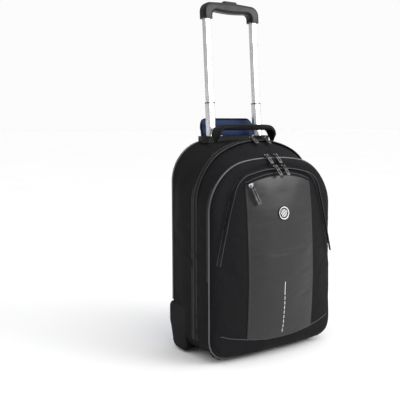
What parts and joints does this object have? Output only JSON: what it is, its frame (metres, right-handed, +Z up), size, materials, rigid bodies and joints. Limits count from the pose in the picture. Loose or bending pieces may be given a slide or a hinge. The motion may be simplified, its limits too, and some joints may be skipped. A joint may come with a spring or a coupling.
{
  "type": "rolling laptop case",
  "caption": "Soft upright laptop case on wheels with a telescopic trolley handle, zipped front compartments, padded back straps and a carry handle.",
  "frame": {"origin": "on the floor, at the middle of the footprint", "axes": "X to the right seen from the front, Y towards the back, Z up; the pocket side faces -Y"},
  "size_m": [0.3388, 0.2282, 0.794],
  "materials": {
    "shell_fabric": "matte",
    "back_fabric": "matte",
    "strap_fabric": "matte",
    "webbing": "matte",
    "cover_fabric": "satin",
    "panel_leatherette": "satin",
    "black_plastic": "satin",
    "board": "matte",
    "tube_metal": "satin",
    "steel": "satin",
    "zip_tape": "matte",
    "zip_metal": "satin",
    "bright_metal": "polished",
    "piping": "satin",
    "tyre": "matte",
    "badge": "satin"
  },
  "bodies": {
    "case": {"rear_shell": "shell_fabric", "back_yoke": "shell_fabric", "back_pads": "back_fabric", "wheel_cover_pocket": "back_fabric", "wheel_cover": "cover_fabric", "shoulder_straps": "strap_fabric", "strap_buckles": "black_plastic", "strap_webbing": "webbing", "inner_board": "board", "laptop_sleeve": "shell_fabric", "axles": "steel", "wheel_bearings": "steel", "outer_tubes": "tube_metal", "handle_bezel": "black_plastic", "tube_bracket": "black_plastic", "main_zip_rear": "zip_tape", "wheel_housings": "black_plastic", "carry_anchors": "webbing"},
    "wheel_left": {"wheel_hub_left": "black_plastic", "tyre_left": "tyre"},
    "wheel_right": {"wheel_hub_right": "black_plastic", "tyre_right": "tyre"},
    "middle_stage": {"middle_tubes": "tube_metal", "middle_collars": "black_plastic"},
    "upper_stage": {"upper_tubes": "tube_metal", "guide_plugs": "black_plastic", "grip_body": "black_plastic", "grip_cap": "black_plastic", "button_spring": "steel"},
    "button": {"release_button": "black_plastic", "push_rods": "tube_metal"},
    "pin_left": {"lock_pin_left": "steel"},
    "pin_right": {"lock_pin_right": "steel"},
    "carry_handle": {"carry_handle": "strap_fabric"},
    "handle_cover": {"handle_cover": "shell_fabric"},
    "middle_section": {"middle_section": "shell_fabric", "middle_section_zips": "zip_tape", "front_lower": "shell_fabric", "front_feet": "black_plastic", "foot_screws": "steel"},
    "front_flap": {"front_panel": "shell_fabric", "front_piping": "piping"},
    "pocket_front": {"front_pocket": "shell_fabric", "centre_panel": "panel_leatherette", "badge": "badge", "pocket_zips": "zip_tape"},
    "slider_main_left": {"slider_main_left": "zip_metal"},
    "pull_main_left": {"pull_main_left": "zip_metal"},
    "slider_main_right": {"slider_main_right": "zip_metal"},
    "pull_main_right": {"pull_main_right": "zip_metal"},
    "slider_middle_left": {"slider_middle_left": "zip_metal"},
    "pull_middle_left": {"pull_middle_left": "zip_metal"},
    "slider_middle_right": {"slider_middle_right": "zip_metal"},
    "pull_middle_right": {"pull_middle_right": "zip_metal"},
    "slider_pocket_left": {"slider_pocket_left": "zip_metal"},
    "pull_pocket_left": {"pull_pocket_left": "zip_metal"},
    "slider_pocket_right": {"slider_pocket_right": "zip_metal"},
    "pull_pocket_right": {"pull_pocket_right": "zip_metal"},
    "slider_panel": {"slider_panel": "bright_metal"},
    "pull_panel": {"pull_panel": "zip_metal"}
  },
  "joints": [
    {"name": "main_opening", "type": "hinge", "parent": "case", "child": "middle_section", "pos_m": [0, -0.008, 0.01], "axis": [1, 0, 0], "range_deg": [0, 75]},
    {"name": "flap_opening", "type": "hinge", "parent": "middle_section", "child": "front_flap", "pos_m": [0, -0.1155, 0.175], "axis": [1, 0, 0], "range_deg": [0, 95]},
    {"name": "pocket_opening", "type": "hinge", "parent": "front_flap", "child": "pocket_front", "pos_m": [0, -0.1155, 0.175], "axis": [1, 0, 0], "range_deg": [0, 60]},
    {"name": "middle_stage_slide", "type": "slide", "parent": "case", "child": "middle_stage", "axis": [0, 0.0698, 0.9976], "range_m": [-0.074, 0.12]},
    {"name": "upper_stage_slide", "type": "slide", "parent": "middle_stage", "child": "upper_stage", "axis": [0, 0.0698, 0.9976], "range_m": [-0.192, 0]},
    {"name": "release_button_press", "type": "slide", "parent": "upper_stage", "child": "button", "axis": [0, -0.0698, -0.9976], "range_m": [0, 0.004], "stiffness_N_per_m": 400, "springref_m": -0.004, "deforming": ["button_spring"]},
    {"name": "pin_left_draw", "type": "slide", "parent": "upper_stage", "child": "pin_left", "axis": [1, 0, 0], "range_m": [0, 0.003]},
    {"name": "pin_right_draw", "type": "slide", "parent": "upper_stage", "child": "pin_right", "axis": [-1, 0, 0], "range_m": [0, 0.003]},
    {"name": "carry_handle_swing", "type": "hinge", "parent": "case", "child": "carry_handle", "pos_m": [0, 0.034, 0.4685], "axis": [1, 0, 0], "range_deg": [-20, 20]},
    {"name": "cover_fold", "type": "hinge", "parent": "case", "child": "handle_cover", "pos_m": [0, 0.1019, 0.4678], "axis": [-1, 0, 0], "range_deg": [0, 70]},
    {"name": "wheel_left_roll", "type": "hinge", "parent": "case", "child": "wheel_left", "pos_m": [-0.146, 0.059, 0.032], "axis": [1, 0, 0], "continuous": true},
    {"name": "wheel_right_roll", "type": "hinge", "parent": "case", "child": "wheel_right", "pos_m": [0.146, 0.059, 0.032], "axis": [1, 0, 0], "continuous": true},
    {"name": "slider_main_left_run", "type": "hinge", "parent": "middle_section", "child": "slider_main_left", "pos_m": [0, -0.008, 0.269], "axis": [0, 1, 0], "range_deg": [-24, 0]},
    {"name": "pull_main_left_swing", "type": "hinge", "parent": "slider_main_left", "child": "pull_main_left", "pos_m": [-0.01429, -0.01095, 0.47862], "axis": [-0.9977, 0, -0.068], "range_deg": [0, 110]},
    {"name": "slider_main_right_run", "type": "hinge", "parent": "middle_section", "child": "slider_main_right", "pos_m": [0, -0.008, 0.269], "axis": [0, 1, 0], "range_deg": [0, 20]},
    {"name": "pull_main_right_swing", "type": "hinge", "parent": "slider_main_right", "child": "pull_main_right", "pos_m": [0.02269, -0.01095, 0.47788], "axis": [-0.9942, 0, 0.108], "range_deg": [0, 110]},
    {"name": "slider_middle_left_run", "type": "hinge", "parent": "front_flap", "child": "slider_middle_left", "pos_m": [0, -0.0635, 0.034], "axis": [0, 1, 0], "range_deg": [-8, 0]},
    {"name": "pull_middle_left_swing", "type": "hinge", "parent": "slider_middle_left", "child": "pull_middle_left", "pos_m": [-0.01703, -0.06959, 0.44041], "axis": [-0.9991, 0, -0.0419], "range_deg": [0, 110]},
    {"name": "slider_middle_right_run", "type": "hinge", "parent": "front_flap", "child": "slider_middle_right", "pos_m": [0, -0.0635, 0.034], "axis": [0, 1, 0], "range_deg": [0, 9]},
    {"name": "pull_middle_right_swing", "type": "hinge", "parent": "slider_middle_right", "child": "pull_middle_right", "pos_m": [0.00852, -0.06959, 0.44067], "axis": [-0.9998, 0, 0.0209], "range_deg": [0, 110]},
    {"name": "slider_pocket_left_run", "type": "hinge", "parent": "pocket_front", "child": "slider_pocket_left", "pos_m": [0, -0.085, 0.1522], "axis": [0, 1, 0], "range_deg": [-9, 0]},
    {"name": "pull_pocket_left_swing", "type": "hinge", "parent": "slider_pocket_left", "child": "pull_pocket_left", "pos_m": [-0.00833, -0.09016, 0.41723], "axis": [-0.9995, 0, -0.0314], "range_deg": [0, 110]},
    {"name": "slider_pocket_right_run", "type": "hinge", "parent": "pocket_front", "child": "slider_pocket_right", "pos_m": [0, -0.085, 0.1522], "axis": [0, 1, 0], "range_deg": [0, 8]},
    {"name": "pull_pocket_right_swing", "type": "hinge", "parent": "slider_pocket_right", "child": "pull_pocket_right", "pos_m": [0.01434, -0.09016, 0.41697], "axis": [-0.9985, 0, 0.0541], "range_deg": [0, 110]},
    {"name": "slider_panel_run", "type": "hinge", "parent": "pocket_front", "child": "slider_panel", "pos_m": [0, -0.043, 0.202], "axis": [0, 0.9613, 0.2756], "range_deg": [0, 22]},
    {"name": "pull_panel_swing", "type": "hinge", "parent": "slider_panel", "child": "pull_panel", "pos_m": [-0.08105, -0.09939, 0.37975], "axis": [-0.9171, 0.1099, -0.3833], "range_deg": [0, 110]}
  ],
  "couplings": [
    {"joint": "pin_left_draw", "follows": "release_button_press", "ratio": 0.75},
    {"joint": "pin_right_draw", "follows": "release_button_press", "ratio": 0.75}
  ]
}
